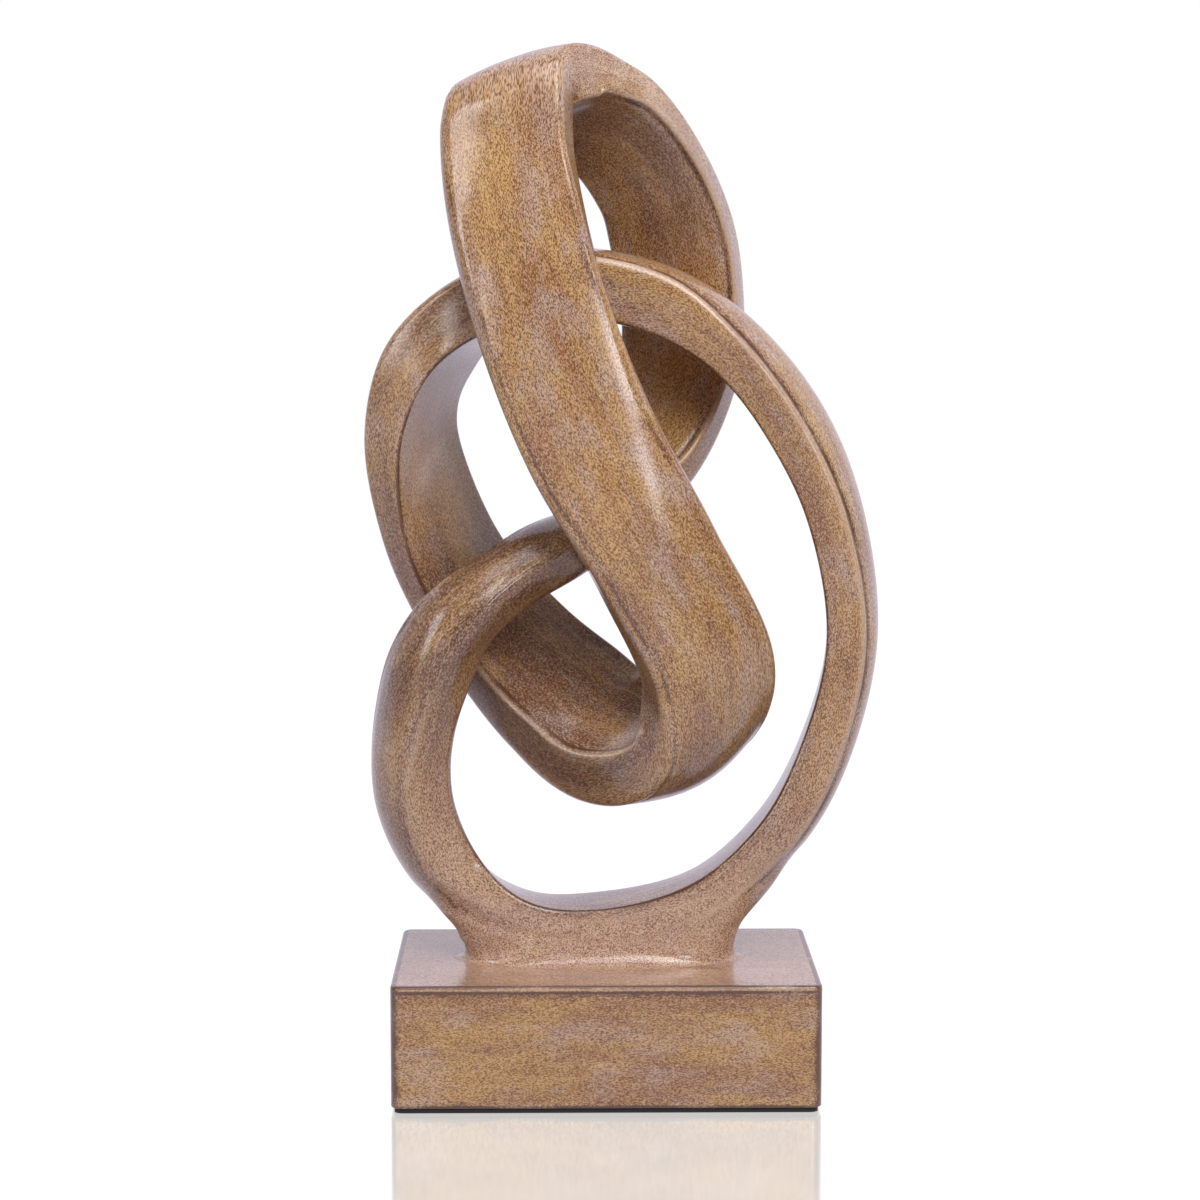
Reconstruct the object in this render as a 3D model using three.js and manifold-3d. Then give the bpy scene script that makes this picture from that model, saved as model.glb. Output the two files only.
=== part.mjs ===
// A knot sculpture on a plinth: one broad band tied as a trefoil knot, standing on a flared neck.
// Millimetres, +Z up, seen from the front along +Y. The origin is the centre of the underside.
import * as THREE from "three";
import { mergeVertices } from "three/addons/utils/BufferGeometryUtils.js";
import Module from "manifold-3d";

const wasm = await Module();
wasm.setup();

// Clearances
const SEAT = 0.3; // between a piece and what it is seated on or in, such as a glue line
const BALLAST_PLAY = 2; // round the ballast block in the hollow of the plinth

// Pad under the plinth
const PAD = { thickness: 1.2, inset: 1, cornerRadius: 2.5 };

// Plinth
const PLINTH = {
  width: 129,
  depth: 79,
  height: 37.2,
  wall: 7,
  roof: 9,
  cornerRadius: 3,
  edgeRadius: 1.2,
  hollowRadius: 1,
  postSide: 13,
  postRoot: 1, // how far a post runs into the walls and the roof
};
const BOARD_THICKNESS = 5;
const BALLAST = { height: 18, cornerRadius: 3, wellRadius: 11 }; // a well round each stud's nut

// Board screws
const SCREW = { headRadius: 3.5, shankRadius: 1.75, length: 17, headDepth: 2.2, tipLength: 2, sunk: 0.3 };

// Studs through the roof of the plinth, with their washers and nuts
const STUD = { radius: 4, rise: 12.5, spacing: 40, centreX: -1.3, tail: 3 };
const WASHER = { radius: 8, thickness: 1.6 };
const NUT = { acrossFlats: 13, height: 6.5 };

// Neck between the plinth and the ring of the band. foot: height, left and right end, half depth.
// shoulder: share of the way from the foot to the middle of the ring, then the same three, up to
// where it ends inside the ring.
const NECK = {
  foot: [
    [0, -45.6, 42.6, 17],
    [0.8, -45.2, 42.2, 16.4],
    [1.7, -44, 41, 14.4],
    [3, -43.4, 40.2, 13],
    [5, -43.6, 40, 12.4],
  ],
  shoulder: [
    [0.08, -44.9, 40.7, 12.3],
    [0.19, -46.2, 42.6, 12.3],
    [0.33, -49.2, 46.8, 12.3],
    [0.46, -52.4, 51, 12.2],
    [0.62, -54.4, 55.2, 12.1],
    [0.75, -54.6, 56.8, 12],
    [0.87, -53, 56, 12],
    [1, -50, 54, 12],
  ],
};
const NECK_SIDES = 36;
// How square the neck is in plan, where 2 is an ellipse: its first loop, how much more each further
// loop of the foot is, and the shoulder
const NECK_SQUARENESS = { first: 2, step: 0.4, shoulder: 4 };

// Knot: how far the band's middle line reaches from side to side and above the plinth, and from
// front to back in widths of the band, because its strands pass one another
const KNOT = { width: 133.5, height: 265.5, depthInWidths: 1.395 };

// Band: sizes of its full section, and how it is divided
const BAND = { width: 38, thickness: 12, edgeRadius: 2.5 };
const RING_STEP = 7.5; // along the band
const END_MARGIN = 2.6; // from the end of a length to its nearest ring
const FACE_POINTS = 6; // over each broad face
const CORNER_STEPS = 3; // round each corner
const CROWN_POWER = 2.2; // how flat the middle of a crowned face is

// Dowels in the band's three glued joints
const DOWEL = { radius: 2, length: 20 };

// Stations of the band, in order along it. Each row holds a name, the place (x and y, and z above
// the plinth's top), the direction across the band from its first edge to its second, the width as
// a share of BAND.width, the thickness as a share of BAND.thickness, how far the outer and the inner
// broad face bulge as shares of BAND.thickness, and 1 where the section follows that direction as
// written instead of standing square to the band. The band closes with half a turn.
const STATIONS = [
  ["ring bottom", [-1.5, 0, 12], [0, 1, 0.03], 0.66, 0.95, [0.17, 0.04]],
  ["ring bottom right", [29.5, 0, 20], [0.04, 1, 0], 0.66, 0.96, [0.25, 0.04]],
  ["ring lower right", [51, 0, 39], [0.05, 1, 0], 0.68, 0.92, [0.38, 0.04]],
  ["ring right", [64, 0, 61], [0.08, 1, 0], 0.7, 0.97, [0.38, 0.04]],
  ["right side", [74, 0, 99], [0.13, 1, 0], 0.74, 0.9, [0.36, 0.04]],
  ["upper right side", [70, 0, 136], [0.25, 0.97, 0.05], 0.74, 0.9, [0.32, 0.04]],
  ["right shoulder", [58.5, 0, 164], [0.3, 0.95, 0.16], 0.74, 0.95, [0.3, 0.04]],
  ["over the back strand", [39, -1.5, 188], [0.17, 0.95, 0.2], 0.72, 1, [0.33, 0.04]],
  ["top of the ring", [16.5, 0, 201.5], [0.02, 1, 0.05], 0.74, 1.4, [0.29, 0.04]],
  ["behind the diagonal", [-16, 1, 207], [0.02, 1, 0], 0.79, 1.5, [0.21, 0.04]],
  ["top of the left arm", [-41, 4, 198.1], [0.1, 0.98, -0.1], 0.87, 1.45, [0.19, 0.04]],
  ["left shoulder", [-54.4, 8.5, 183], [0.24, 0.95, -0.21], 0.95, 1.33, [0.17, 0.04]],
  ["left side", [-59.5, 13, 163], [0.43, 0.9, 0], 1, 1.04, [0.17, 0.04]],
  ["lower left arm", [-54, 18.5, 136], [0.6, 0.76, 0.18], 1.03, 0.8, [0.18, 0.04]],
  ["behind the lower left", [-44.3, 22.5, 114.8], [0.6, 0.7, 0.35], 1.07, 0.84, [0.21, 0.04]],
  ["inner turn, left", [-28, 18, 94.5], [0.67, 0.65, 0.36], 1.12, 1.06, [0.4, 0.04]],
  ["inner turn, lower left", [-12.6, 9.2, 80], [0.67, 0.63, 0.39], 1.17, 1.4, [0.48, 0.04]],
  ["inner turn, bottom", [2, 0, 69.3], [0.56, 0.66, 0.5], 1.1, 1.7, [0.43, 0.04]],
  ["inner turn, right", [22.6, -11, 68.8], [0.6, 0.75, 0.15], 1.08, 1.25, [0.57, 0.04]],
  ["foot of the diagonal", [31.3, -20, 89.5], [0.9, 0.42, 0.05], 1.06, 1.04, [0.42, 0.04]],
  ["lower diagonal", [15.4, -25, 125.8], [0.88, 0.15, 0.45], 1.02, 1, [0.27, 0.04]],
  ["middle diagonal", [-4, -27, 160.5], [0.9, 0.05, 0.38], 1.07, 1, [0.17, 0.04]],
  ["upper diagonal", [-17.5, -27, 194], [0.95, 0, 0.3], 1.06, 1, [0.17, 0.04]],
  ["head of the diagonal", [-26, -25, 225], [0.98, -0.12, 0.14], 1.05, 1, [0.17, 0.04]],
  ["under the bend", [-29.6, -19.5, 249.5], [0.96, -0.27, 0.03], 1.03, 1, [0.17, 0.04], 1],
  ["bend", [-28.7, -17, 261.7], [0.94, -0.25, 0.24], 1.01, 1.12, [0.21, 0.04], 1],
  ["past the bend", [-24, -10.5, 264.5], [0.89, -0.34, 0.29], 1, 1.36, [0.21, 0.04], 1],
  ["top", [-16.5, -1, 265.5], [0.78, -0.55, 0.28], 1, 1.33, [0.12, 0.04], 1],
  ["top right", [-7, 6, 260], [0.62, -0.62, 0.48], 1.03, 1.2, [0.12, 0.04], 1],
  ["head of the back strand", [3.2, 9.8, 254.5], [0.66, -0.52, 0.53], 0.96, 1.08, [0.12, 0.04], 1],
  ["upper back strand", [15.7, 17.8, 237.2], [0.83, -0.36, 0.42], 0.94, 1, [0.12, 0.04]],
  ["back strand", [21, 22.5, 222.5], [0.9, -0.33, 0.26], 1, 0.96, [0.12, 0.04]],
  ["back strand, middle", [24, 26, 207], [0.95, -0.28, 0.1], 0.99, 0.96, [0.12, 0.04]],
  ["lower back strand", [24, 26, 184], [0.95, -0.32, -0.05], 0.97, 0.96, [0.12, 0.04]],
  ["foot of the back strand", [14.2, 17, 156.5], [0.74, -0.6, -0.4], 0.9, 1, [0.17, 0.12]],
  ["under the diagonal", [-4.5, 3, 133], [0.15, -0.97, -0.2], 0.74, 0.92, [0.12, 0.21]],
  ["over the left arm, right", [-26.5, -4, 119.7], [0.33, -0.68, -0.62], 0.52, 1, [0.08, 0.33]],
  ["over the left arm", [-46.4, -7.5, 103.4], [0.56, -0.45, -0.66], 0.61, 1.12, [0.07, 0.46]],
  ["lower left", [-57.3, -5, 75], [0.54, -0.83, -0.15], 0.76, 1.06, [0.04, 0.42]],
  ["ring left", [-57.4, -2.5, 49.5], [0.4, -0.91, 0], 0.71, 1.27, [0.04, 0.42]],
  ["ring lower left", [-46, 0, 26.5], [0.22, -0.97, 0.1], 0.66, 1.24, [0.04, 0.33]],
  ["ring bottom left", [-25.5, 0, 14], [0.05, -1, 0.04], 0.66, 0.9, [0.04, 0.21]],
];

// The glued joints, each behind a strand that hides it: the station before it, and how far on it lies
const JOINTS = {
  upper: { after: "behind the diagonal", share: 0.1 },
  left: { after: "behind the lower left", share: 0.5 },
  middle: { after: "foot of the back strand", share: 0.45 },
};

const FINISH = new THREE.MeshStandardMaterial({ color: 0xa8825a, roughness: 0.42, metalness: 0 });
const FELT = new THREE.MeshStandardMaterial({ color: 0x16130f, roughness: 0.95, metalness: 0 });
const BOARD = new THREE.MeshStandardMaterial({ color: 0x7b5a3c, roughness: 0.85, metalness: 0 });
const IRON = new THREE.MeshStandardMaterial({ color: 0x3a3a3c, roughness: 0.7, metalness: 0.8 });
const STEEL = new THREE.MeshStandardMaterial({ color: 0xa9adb0, roughness: 0.35, metalness: 1 });

// Solids

function toSolid(geometry) {
  const plain = geometry.index ? geometry.toNonIndexed() : geometry;
  const points = new THREE.BufferGeometry().setAttribute("position", plain.getAttribute("position"));
  const merged = mergeVertices(points, 1e-4);
  return new wasm.Manifold(
    new wasm.Mesh({
      numProp: 3,
      vertProperties: merged.attributes.position.array,
      triVerts: new Uint32Array(merged.index.array),
    }),
  );
}

function toGeometry(solid) {
  const mesh = solid.getMesh();
  return new THREE.BufferGeometry()
    .setAttribute("position", new THREE.BufferAttribute(mesh.vertProperties, 3))
    .setIndex(new THREE.BufferAttribute(mesh.triVerts, 1));
}

function namedMesh(name, geometry, material) {
  geometry.computeVertexNormals();
  const mesh = new THREE.Mesh(geometry, material);
  mesh.name = name;
  return mesh;
}

// A closed skin through loops of equal length. Each end is closed by strips between its points
// and their mirror images, so a point's mirror image is as far from the end of its loop.
function loft(loops) {
  const count = loops[0].length;
  const faces = [];
  for (let i = 0; i + 1 < loops.length; i++) {
    for (let k = 0; k < count; k++) {
      const a = i * count + k;
      const b = i * count + ((k + 1) % count);
      faces.push(a, b, b + count, a, b + count, a + count);
    }
  }
  const last = (loops.length - 1) * count;
  for (let k = 0; k + 1 < count / 2; k++) {
    const mirror = count - 1 - k;
    faces.push(k, mirror, mirror - 1);
    faces.push(last + k, last + mirror - 1, last + mirror);
    if (k + 1 < mirror - 1) {
      faces.push(k, mirror - 1, k + 1);
      faces.push(last + k, last + k + 1, last + mirror - 1);
    }
  }
  return new THREE.BufferGeometry().setFromPoints(loops.flat()).setIndex(faces);
}

function roundedRectangle(width, depth, radius) {
  const x = width / 2 - radius;
  const y = depth / 2 - radius;
  const shape = new THREE.Shape();
  shape.absarc(x, y, radius, 0, Math.PI / 2);
  shape.absarc(-x, y, radius, Math.PI / 2, Math.PI);
  shape.absarc(-x, -y, radius, Math.PI, 1.5 * Math.PI);
  shape.absarc(x, -y, radius, 1.5 * Math.PI, 2 * Math.PI);
  return shape;
}

function prism(shape, from, to, curveSegments = 5) {
  const options = { depth: to - from, bevelEnabled: false, curveSegments };
  return new THREE.ExtrudeGeometry(shape, options).translate(0, 0, from);
}

function rod(radius, from, to, segments = 24) {
  return new THREE.CylinderGeometry(radius, radius, to - from, segments)
    .rotateX(Math.PI / 2)
    .translate(0, 0, (from + to) / 2);
}

function placed(geometry, x, y) {
  return geometry.clone().translate(x, y, 0);
}

// The band

// The stations are stretched from the reach that they are written at to the knot's own
function reach(axis) {
  const written = STATIONS.map(([, place]) => place[axis]);
  return [Math.min(...written), Math.max(...written)];
}

const [writtenLeft, writtenRight] = reach(0);
const [writtenFront, writtenBack] = reach(1);
const writtenTop = reach(2)[1];
const stretch = {
  x: KNOT.width / (writtenRight - writtenLeft),
  y: (KNOT.depthInWidths * BAND.width) / (writtenBack - writtenFront),
  z: KNOT.height / writtenTop,
};

const rows = STATIONS.map(([, [x, y, z], across, width, thickness, [outer, inner], lean = 0]) => [
  x * stretch.x,
  y * stretch.y,
  z * stretch.z,
  ...new THREE.Vector3(...across).normalize().toArray(),
  width * BAND.width,
  thickness * BAND.thickness,
  (outer + inner) * BAND.thickness,
  (outer - inner) * BAND.thickness,
  lean,
]);
// Past the last station the band comes round to the first one turned over
const TURNED_OVER = [1, 1, 1, -1, -1, -1, 1, 1, 1, -1, 1];

function row(index) {
  const lap = Math.floor(index / rows.length);
  const values = rows[index - lap * rows.length];
  return lap % 2 ? values.map((v, i) => v * TURNED_OVER[i]) : values;
}

function span(index) {
  const a = row(index);
  const b = row(index + 1);
  return Math.hypot(a[0] - b[0], a[1] - b[1], a[2] - b[2]);
}

// The values at a place along the band, by a centripetal Catmull-Rom curve
function sample(place) {
  const i = Math.floor(place);
  const [p0, p1, p2, p3] = [row(i - 1), row(i), row(i + 1), row(i + 2)];
  const t1 = Math.sqrt(span(i - 1));
  const t2 = t1 + Math.sqrt(span(i));
  const t3 = t2 + Math.sqrt(span(i + 1));
  const t = t1 + (t2 - t1) * (place - i);
  const mix = (a, b, from, to) => a.map((v, k) => (v * (to - t) + b[k] * (t - from)) / (to - from));
  const a1 = mix(p0, p1, 0, t1);
  const a2 = mix(p1, p2, t1, t2);
  const a3 = mix(p2, p3, t2, t3);
  return mix(mix(a1, a2, 0, t2), mix(a2, a3, t1, t3), t1, t2);
}

function centreAt(place) {
  return new THREE.Vector3(...sample(place).slice(0, 3));
}

function frameAt(place) {
  const nudge = 0.01;
  const values = sample(place);
  const along = centreAt(place + nudge).sub(centreAt(place - nudge)).normalize();
  const across = new THREE.Vector3(values[3], values[4], values[5]);
  across.addScaledVector(along, (values[10] - 1) * across.dot(along)).normalize();
  return {
    centre: new THREE.Vector3(...values.slice(0, 3)),
    along,
    across,
    outward: across.clone().cross(along).normalize(),
    width: values[6],
    thickness: values[7],
    outer: (values[8] + values[9]) / 2,
    inner: (values[8] - values[9]) / 2,
  };
}

// Half of the section, from the first edge to the second over one broad face
function halfSection(width, thickness, crown) {
  const a = width / 2;
  const b = thickness / 2;
  const r = Math.min(BAND.edgeRadius, b);
  const bulge = (p) => crown * (1 - (Math.abs(p) / a) ** CROWN_POWER);
  const corner = bulge(a - r);
  const half = [];
  for (let i = 0; i < CORNER_STEPS; i++) {
    const turn = ((i / CORNER_STEPS) * Math.PI) / 2;
    half.push([-(a - r) - r * Math.cos(turn), b - r + (r + corner) * Math.sin(turn)]);
  }
  for (let i = 0; i < FACE_POINTS; i++) {
    const p = (a - r) * ((2 * i) / (FACE_POINTS - 1) - 1);
    half.push([p, b + bulge(p)]);
  }
  for (let i = CORNER_STEPS - 1; i >= 0; i--) {
    const turn = ((i / CORNER_STEPS) * Math.PI) / 2;
    half.push([a - r + r * Math.cos(turn), b - r + (r + corner) * Math.sin(turn)]);
  }
  return half;
}

function loopAt(place, shift = 0) {
  const f = frameAt(place);
  const centre = f.centre.clone().addScaledVector(f.along, shift);
  const outer = halfSection(f.width, f.thickness, f.outer);
  const inner = halfSection(f.width, f.thickness, f.inner).map(([p, q]) => [-p, -q]);
  return [...outer, ...inner].map(([p, q]) =>
    centre.clone().addScaledVector(f.across, p).addScaledVector(f.outward, q),
  );
}

function placeOf(joint) {
  return STATIONS.findIndex(([name]) => name === joint.after) + joint.share;
}

// A length of the band from one joint to another, with half a glue line left at each end
function bandLength(from, to) {
  const loops = [loopAt(from, SEAT / 2)];
  for (let i = Math.floor(from); i < to; i++) {
    const steps = Math.max(1, Math.round(span(i) / RING_STEP));
    for (let k = 0; k < steps; k++) {
      const place = i + k / steps;
      const margin = END_MARGIN / span(i);
      if (place > from + margin && place < to - margin) loops.push(loopAt(place));
    }
  }
  loops.push(loopAt(to, -SEAT / 2));
  return toSolid(loft(loops));
}

function alongBand(geometry, place) {
  const f = frameAt(place);
  const turned = new THREE.Matrix4().makeBasis(f.across, f.outward.clone().negate(), f.along);
  return geometry.clone().applyMatrix4(turned.setPosition(f.centre));
}

function dowel(joint, clearance) {
  const half = DOWEL.length / 2 + clearance;
  return alongBand(rod(DOWEL.radius + clearance, -half, half, 16), placeOf(joint));
}

// The neck

// The middle of the ring at a place along x, near its bottom
function ringHeight(x) {
  let low = rows.length - 3;
  let high = rows.length + 3;
  while (high - low > 1e-6) {
    const middle = (low + high) / 2;
    if (centreAt(middle).x < x) low = middle;
    else high = middle;
  }
  return centreAt(low).z;
}

function neckLoop([, left, right, halfDepth], squareness, heightAt) {
  const power = 2 / squareness;
  const loop = [];
  for (let k = 0; k < NECK_SIDES; k++) {
    const turn = (2 * Math.PI * (k + 0.5)) / NECK_SIDES;
    const c = Math.cos(turn);
    const s = Math.sin(turn);
    const x = (left + right + Math.sign(c) * Math.abs(c) ** power * (right - left)) / 2;
    const y = Math.sign(s) * Math.abs(s) ** power * halfDepth;
    loop.push(new THREE.Vector3(x, y, heightAt(x)));
  }
  return loop;
}

function neckSolid() {
  const footTop = NECK.foot.at(-1)[0];
  const shoulder = NECK.shoulder.map(([share, left, right, halfDepth]) =>
    [share, left * stretch.x, right * stretch.x, halfDepth],
  );
  const [, topLeft, topRight] = shoulder.at(-1);
  const { first, step, shoulder: shoulderSquareness } = NECK_SQUARENESS;
  const loops = NECK.foot.map((size, i) => neckLoop(size, first + step * i, () => SEAT + size[0]));
  shoulder.forEach((size, i) => {
    const [share, left, right] = size;
    const heightAt = (x) => {
      const ring = ringHeight(THREE.MathUtils.mapLinear(x, left, right, topLeft, topRight));
      return THREE.MathUtils.lerp(SEAT + footTop, ring, share);
    };
    loops.push(neckLoop(size, shoulderSquareness, heightAt));
  });
  return toSolid(loft(loops));
}

const studPlaces = [-STUD.spacing / 2, STUD.spacing / 2].map((x) => STUD.centreX + x);

function ringSection() {
  const from = placeOf(JOINTS.middle);
  const to = rows.length + placeOf(JOINTS.upper);
  let solid = bandLength(from, to).add(neckSolid());
  for (const x of studPlaces) {
    const bore = rod(STUD.radius + SEAT, SEAT - 1, STUD.rise + SEAT);
    solid = solid.subtract(toSolid(placed(bore, x, 0)));
  }
  return solid.subtract(toSolid(dowel(JOINTS.middle, SEAT))).subtract(toSolid(dowel(JOINTS.upper, SEAT)));
}

function bandSection(fromJoint, toJoint) {
  return bandLength(placeOf(fromJoint), placeOf(toJoint))
    .subtract(toSolid(dowel(fromJoint, SEAT)))
    .subtract(toSolid(dowel(toJoint, SEAT)));
}

// The plinth, its underside at z = 0

const cavity = {
  width: PLINTH.width - 2 * PLINTH.wall,
  depth: PLINTH.depth - 2 * PLINTH.wall,
  top: PLINTH.height - PLINTH.roof,
};
const postX = (cavity.width - PLINTH.postSide) / 2;
const postY = (cavity.depth - PLINTH.postSide) / 2;
const postPlaces = [
  [-postX, -postY],
  [postX, -postY],
  [postX, postY],
  [-postX, postY],
];

function plinthLoop(inset, z) {
  const outline = roundedRectangle(
    PLINTH.width - 2 * inset,
    PLINTH.depth - 2 * inset,
    Math.max(PLINTH.cornerRadius - inset, 0.3),
  );
  return outline.getPoints(4).map((p) => new THREE.Vector3(p.x, p.y, z));
}

function plinthShell() {
  const r = PLINTH.edgeRadius;
  const top = PLINTH.height;
  const loops = [plinthLoop(0, 0)];
  for (const turn of [0, Math.PI / 6, Math.PI / 3, Math.PI / 2]) {
    loops.push(plinthLoop(r * (1 - Math.cos(turn)), top - r + r * Math.sin(turn)));
  }
  let solid = toSolid(loft(loops));
  const hollow = roundedRectangle(cavity.width, cavity.depth, PLINTH.hollowRadius);
  solid = solid.subtract(toSolid(prism(hollow, -1, cavity.top)));
  const root = PLINTH.postRoot;
  const side = PLINTH.postSide + root;
  const postShape = roundedRectangle(side, side, root / 2);
  const post = prism(postShape, BOARD_THICKNESS + SEAT, cavity.top + root, 1);
  const bore = rod(SCREW.shankRadius + SEAT, 0, SCREW.length + 2 * SCREW.sunk + SEAT, 12);
  for (const [x, y] of postPlaces) {
    const rooted = placed(post, x + (Math.sign(x) * root) / 2, y + (Math.sign(y) * root) / 2);
    solid = solid.add(toSolid(rooted)).subtract(toSolid(placed(bore, x, y)));
  }
  for (const x of studPlaces) {
    solid = solid.subtract(toSolid(placed(rod(STUD.radius + SEAT, cavity.top - 1, top + 1), x, 0)));
  }
  return solid;
}

// A countersunk screw, its head at the bottom; grown by a clearance it is the hole for one
function screwShape(clearance) {
  const head = SCREW.headRadius + clearance;
  const shank = SCREW.shankRadius + clearance;
  const low = clearance ? -1 : SCREW.sunk;
  const tip = SCREW.sunk + SCREW.length - SCREW.tipLength + 2 * clearance;
  const profile = [
    [0, low],
    [head, low],
    [head, SCREW.sunk + clearance / 2],
    [shank, SCREW.sunk + SCREW.headDepth + clearance],
    [shank, tip],
    [0, tip + SCREW.tipLength],
  ];
  const points = profile.map(([r, z]) => new THREE.Vector2(r, z));
  return new THREE.LatheGeometry(points, 16).rotateX(Math.PI / 2);
}

function baseBoard() {
  const outline = roundedRectangle(cavity.width - 2 * SEAT, cavity.depth - 2 * SEAT, PLINTH.hollowRadius);
  let solid = toSolid(prism(outline, 0, BOARD_THICKNESS));
  for (const [x, y] of postPlaces) solid = solid.subtract(toSolid(placed(screwShape(SEAT), x, y)));
  return solid;
}

function ballastBlock() {
  const width = cavity.width - 2 * PLINTH.postSide - 2 * BALLAST_PLAY;
  const depth = cavity.depth - 2 * BALLAST_PLAY;
  const outline = roundedRectangle(width, depth, BALLAST.cornerRadius);
  for (const x of studPlaces) {
    outline.holes.push(new THREE.Path().absarc(x, 0, BALLAST.wellRadius, 0, 2 * Math.PI, true));
  }
  const from = BOARD_THICKNESS + SEAT;
  return prism(outline, from, from + BALLAST.height, 6);
}

function nutGeometry(from) {
  const reach = NUT.acrossFlats / 2 / Math.cos(Math.PI / 6);
  const hexagon = new THREE.Shape();
  for (let k = 0; k < 6; k++) {
    const turn = (k * Math.PI) / 3;
    hexagon[k ? "lineTo" : "moveTo"](reach * Math.cos(turn), reach * Math.sin(turn));
  }
  hexagon.holes.push(new THREE.Path().absarc(0, 0, STUD.radius + SEAT, 0, 2 * Math.PI, true));
  return prism(hexagon, from, from + NUT.height, 6);
}

function washerGeometry(from) {
  const disc = new THREE.Shape().absarc(0, 0, WASHER.radius, 0, 2 * Math.PI);
  disc.holes.push(new THREE.Path().absarc(0, 0, STUD.radius + SEAT, 0, 2 * Math.PI, true));
  return prism(disc, from, from + WASHER.thickness, 8);
}

// Assembly

const plinth = new THREE.Group();
plinth.position.z = PAD.thickness + SEAT;
const knot = new THREE.Group();
knot.position.z = plinth.position.z + PLINTH.height;

knot.add(
  namedMesh("ring_section", toGeometry(ringSection()), FINISH),
  namedMesh("left_arm_section", toGeometry(bandSection(JOINTS.upper, JOINTS.left)), FINISH),
  namedMesh("crown_section", toGeometry(bandSection(JOINTS.left, JOINTS.middle)), FINISH),
);
for (const [name, joint] of Object.entries(JOINTS)) {
  knot.add(namedMesh("joint_dowel_" + name, dowel(joint, 0), STEEL));
}

plinth.add(
  namedMesh("plinth_shell", toGeometry(plinthShell()), FINISH),
  namedMesh("base_board", toGeometry(baseBoard()), BOARD),
  namedMesh("ballast_block", ballastBlock(), IRON),
);
postPlaces.forEach(([x, y], i) => {
  const screw = namedMesh("board_screw_" + (i + 1), screwShape(0), STEEL);
  screw.position.set(x, y, 0);
  plinth.add(screw);
});

const washerTop = cavity.top - SEAT;
const nutTop = washerTop - WASHER.thickness - SEAT;
const studFoot = nutTop - NUT.height - STUD.tail;
["left", "right"].forEach((side, i) => {
  const fastening = new THREE.Group();
  fastening.position.x = studPlaces[i];
  fastening.add(
    namedMesh("stud_" + side, rod(STUD.radius, studFoot, PLINTH.height + STUD.rise), STEEL),
    namedMesh("washer_" + side, washerGeometry(washerTop - WASHER.thickness), STEEL),
    namedMesh("nut_" + side, nutGeometry(nutTop - NUT.height), STEEL),
  );
  plinth.add(fastening);
});

const padWidth = PLINTH.width - 2 * PAD.inset;
const padDepth = PLINTH.depth - 2 * PAD.inset;
const padOutline = roundedRectangle(padWidth, padDepth, PAD.cornerRadius);
const sculpture = new THREE.Group();
sculpture.add(namedMesh("felt_pad", prism(padOutline, 0, PAD.thickness), FELT), plinth, knot);

export default sculpture;
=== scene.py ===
"""The looks of a knot sculpture: one broad band tied as a trefoil knot, on a neck and a plinth.

Everything is in metres, +Z up and seen from the front along +Y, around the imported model's frame.
"""

import math

import bpy
import numpy as np
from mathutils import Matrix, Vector
from mathutils.kdtree import KDTree


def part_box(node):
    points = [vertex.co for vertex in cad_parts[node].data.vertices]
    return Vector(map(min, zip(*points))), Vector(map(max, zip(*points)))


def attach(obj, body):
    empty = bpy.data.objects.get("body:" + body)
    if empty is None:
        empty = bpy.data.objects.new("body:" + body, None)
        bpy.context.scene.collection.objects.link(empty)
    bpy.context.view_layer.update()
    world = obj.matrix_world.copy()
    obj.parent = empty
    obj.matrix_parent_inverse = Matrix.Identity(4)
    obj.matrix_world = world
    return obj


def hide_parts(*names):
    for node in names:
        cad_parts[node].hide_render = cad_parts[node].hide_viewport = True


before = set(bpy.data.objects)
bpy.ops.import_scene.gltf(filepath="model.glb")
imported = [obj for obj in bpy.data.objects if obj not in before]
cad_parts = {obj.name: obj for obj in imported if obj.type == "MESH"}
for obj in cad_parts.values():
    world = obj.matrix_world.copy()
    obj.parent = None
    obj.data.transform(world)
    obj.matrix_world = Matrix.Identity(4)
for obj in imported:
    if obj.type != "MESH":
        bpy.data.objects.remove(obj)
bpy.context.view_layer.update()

bl_info = {
    "name": "Knot sculpture",
    "version": (1, 0, 0),
    "blender": (4, 5, 0),
    "location": "View3D > Sidebar > Knot",
    "description": "Builds the looks of a knot sculpture around its packed model",
    "category": "Object",
}

MM = 0.001
SAME_POINT = 0.01 * MM  # two points nearer than this are one
PLINTH_LOW, PLINTH_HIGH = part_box("plinth_shell")

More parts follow.
